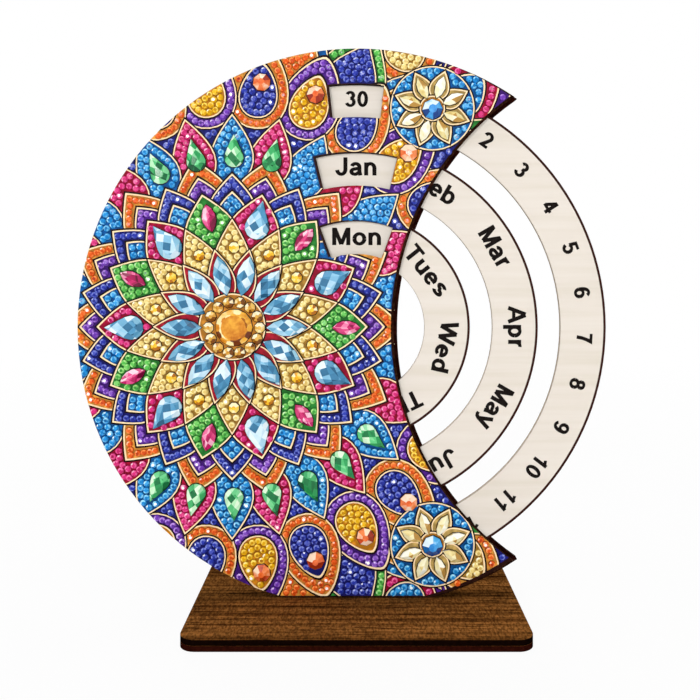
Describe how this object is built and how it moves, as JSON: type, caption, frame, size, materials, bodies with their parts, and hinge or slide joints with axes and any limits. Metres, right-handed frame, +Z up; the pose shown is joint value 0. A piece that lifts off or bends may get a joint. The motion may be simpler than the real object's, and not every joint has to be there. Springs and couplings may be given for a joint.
{
  "type": "perpetual calendar",
  "caption": "Desk perpetual calendar: an upright crescent panel covered with cut stones, on a flat base, with concentric weekday, month and date rings that turn behind windows.",
  "frame": {"origin": "centre of the base's underside, straight below the ring axis", "axes": "+Z up, -Y towards the viewer, +X to the viewer's right, where the crescent opens"},
  "size_m": [0.209, 0.0786, 0.2207],
  "materials": {
    "walnut_board": "satin printed walnut grain with scorched edges",
    "panel_board": "bare board with laser-scorched edges",
    "ring_board": "cream printed board with faint grain, scorched edges",
    "tape": "thin adhesive tape",
    "art_film": "printed film in many colours",
    "amber_resin": "clear gloss, faceted",
    "gold_resin": "metallic gloss, faceted",
    "crystal_resin": "clear gloss, faceted",
    "yellow_resin": "clear gloss, faceted",
    "pink_resin": "clear gloss, faceted",
    "green_resin": "clear gloss, faceted",
    "orange_resin": "clear gloss, faceted",
    "blue_resin": "clear gloss, faceted",
    "cream_resin": "opaque gloss, faceted"
  },
  "bodies": {
    "stand": {"base_lower_board": "walnut_board", "base_tape": "tape", "base_upper_board": "walnut_board", "back_panel": "panel_board", "back_tape": "tape", "rim_spacer": "panel_board", "outer_arc_spacer": "panel_board", "inner_arc_spacer": "panel_board", "hub_spacer": "panel_board", "front_tape": "tape", "front_panel": "panel_board", "art_film": "art_film", "centre_stone": "amber_resin", "gold_cabochons": "gold_resin", "crystal_navettes": "crystal_resin", "yellow_studs": "yellow_resin", "crystal_pears": "crystal_resin", "pink_navettes": "pink_resin", "leaf_pears": "green_resin", "field_rounds": "orange_resin", "horn_stones": "blue_resin", "horn_navettes": "cream_resin"},
    "weekday_ring": {"weekday_ring": "ring_board"},
    "month_ring": {"month_ring": "ring_board"},
    "date_ring": {"date_ring": "ring_board"}
  },
  "joints": [
    {"name": "weekday_ring_turn", "type": "hinge", "parent": "stand", "child": "weekday_ring", "pos_m": [0, 0, 0.11071], "axis": [0, -1, 0], "continuous": true},
    {"name": "month_ring_turn", "type": "hinge", "parent": "stand", "child": "month_ring", "pos_m": [0, 0, 0.11071], "axis": [0, -1, 0], "continuous": true},
    {"name": "date_ring_turn", "type": "hinge", "parent": "stand", "child": "date_ring", "pos_m": [0, 0, 0.11071], "axis": [0, -1, 0], "continuous": true}
  ]
}
